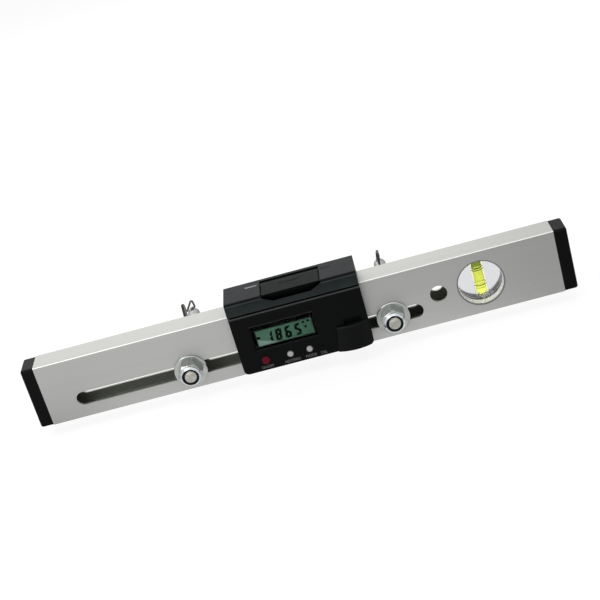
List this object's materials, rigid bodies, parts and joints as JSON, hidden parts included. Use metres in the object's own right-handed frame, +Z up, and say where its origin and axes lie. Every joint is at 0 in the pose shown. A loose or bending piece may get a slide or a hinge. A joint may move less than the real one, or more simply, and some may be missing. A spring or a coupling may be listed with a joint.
{
  "type": "digital flange level",
  "caption": "Slotted box-section level bar with sliding flange pins, a clip-on digital angle display, a plumb vial window and end caps.",
  "frame": {"origin": "middle of the bar's flat bottom face", "axes": "+X along the bar towards the vial window, +Y from the display towards the flange, +Z up"},
  "size_m": [0.42, 0.1163, 0.0731],
  "materials": {
    "anodised_aluminium": "satin anodised",
    "black_cap_plastic": "fine moulded texture",
    "black_housing_plastic": "satin moulded",
    "black_panel_plastic": "satin moulded",
    "black_latch_plastic": "satin moulded",
    "clear_acrylic": "polished clear",
    "vial_liquid": "clear coloured liquid",
    "mark_ink": "printed",
    "zinc_steel": "bright zinc plated",
    "cone_aluminium": "turned",
    "nylon": "black",
    "red_button_plastic": "semi gloss",
    "label_ink": "printed",
    "white_button_plastic": "semi gloss",
    "display_glass": "green-grey liquid crystal",
    "lens_acrylic": "polished clear",
    "board_laminate": "solder mask",
    "chip_plastic": "moulded",
    "cell_sleeve": "printed sleeve over a metal can",
    "contact_steel": "nickel plated"
  },
  "bodies": {
    "bar": {"bar": "anodised_aluminium", "left_end_cap": "black_cap_plastic", "right_end_cap": "black_cap_plastic", "vial_carrier": "clear_acrylic", "vial_tube": "clear_acrylic", "vial_liquid": "vial_liquid", "vial_marks": "mark_ink", "front_housing": "black_panel_plastic", "top_housing": "black_housing_plastic", "module_chassis": "black_latch_plastic", "case_screws": "zinc_steel", "battery_cells": "cell_sleeve", "bridge_contact": "contact_steel", "end_contacts": "contact_steel", "display_lens": "lens_acrylic", "display_panel": "display_glass", "circuit_board": "board_laminate", "tact_switches": "chip_plastic", "tilt_sensor": "chip_plastic", "latch_spring": "contact_steel"},
    "left_pin": {"left_stud": "zinc_steel", "left_washer": "zinc_steel", "left_lock_nut": "zinc_steel", "left_nylon_ring": "nylon", "left_centring_cone": "cone_aluminium", "left_split_pin": "zinc_steel"},
    "left_wing_nut": {"left_wing_nut": "zinc_steel"},
    "right_pin": {"right_stud": "zinc_steel", "right_washer": "zinc_steel", "right_lock_nut": "zinc_steel", "right_nylon_ring": "nylon", "right_centring_cone": "cone_aluminium", "right_split_pin": "zinc_steel"},
    "right_wing_nut": {"right_wing_nut": "zinc_steel"},
    "power_button": {"power_button": "red_button_plastic"},
    "zero_button": {"zero_button": "white_button_plastic"},
    "mode_button": {"mode_button": "white_button_plastic"},
    "battery_lid": {"battery_lid": "black_housing_plastic"},
    "release_latch": {"release_latch": "black_latch_plastic"}
  },
  "joints": [
    {"name": "left_pin_slide", "type": "slide", "parent": "bar", "child": "left_pin", "axis": [1, 0, 0], "range_m": [-0.0849, 0.0261]},
    {"name": "left_wing_nut_turn", "type": "hinge", "parent": "left_pin", "child": "left_wing_nut", "pos_m": [-0.08625, 0.0412, 0.0155], "axis": [0, 1, 0], "continuous": true},
    {"name": "right_pin_slide", "type": "slide", "parent": "bar", "child": "right_pin", "axis": [1, 0, 0], "range_m": [-0.0051, 0.018]},
    {"name": "right_wing_nut_turn", "type": "hinge", "parent": "right_pin", "child": "right_wing_nut", "pos_m": [0.07115, 0.0412, 0.0155], "axis": [0, 1, 0], "continuous": true},
    {"name": "power_button_press", "type": "slide", "parent": "bar", "child": "power_button", "axis": [0, 1, 0], "range_m": [0, 0.0005], "stiffness_N_per_m": 1500},
    {"name": "zero_button_press", "type": "slide", "parent": "bar", "child": "zero_button", "axis": [0, 1, 0], "range_m": [0, 0.0005], "stiffness_N_per_m": 1500},
    {"name": "mode_button_press", "type": "slide", "parent": "bar", "child": "mode_button", "axis": [0, 1, 0], "range_m": [0, 0.0005], "stiffness_N_per_m": 1500},
    {"name": "battery_lid_hinge", "type": "hinge", "parent": "bar", "child": "battery_lid", "pos_m": [0.00365, 0.00165, 0.06201], "axis": [-1, 0, 0], "range_deg": [0, 100]},
    {"name": "release_latch_slide", "type": "slide", "parent": "bar", "child": "release_latch", "axis": [0, 0, -1], "range_m": [0, 0.003], "stiffness_N_per_m": 400, "deforming": ["latch_spring"]}
  ]
}
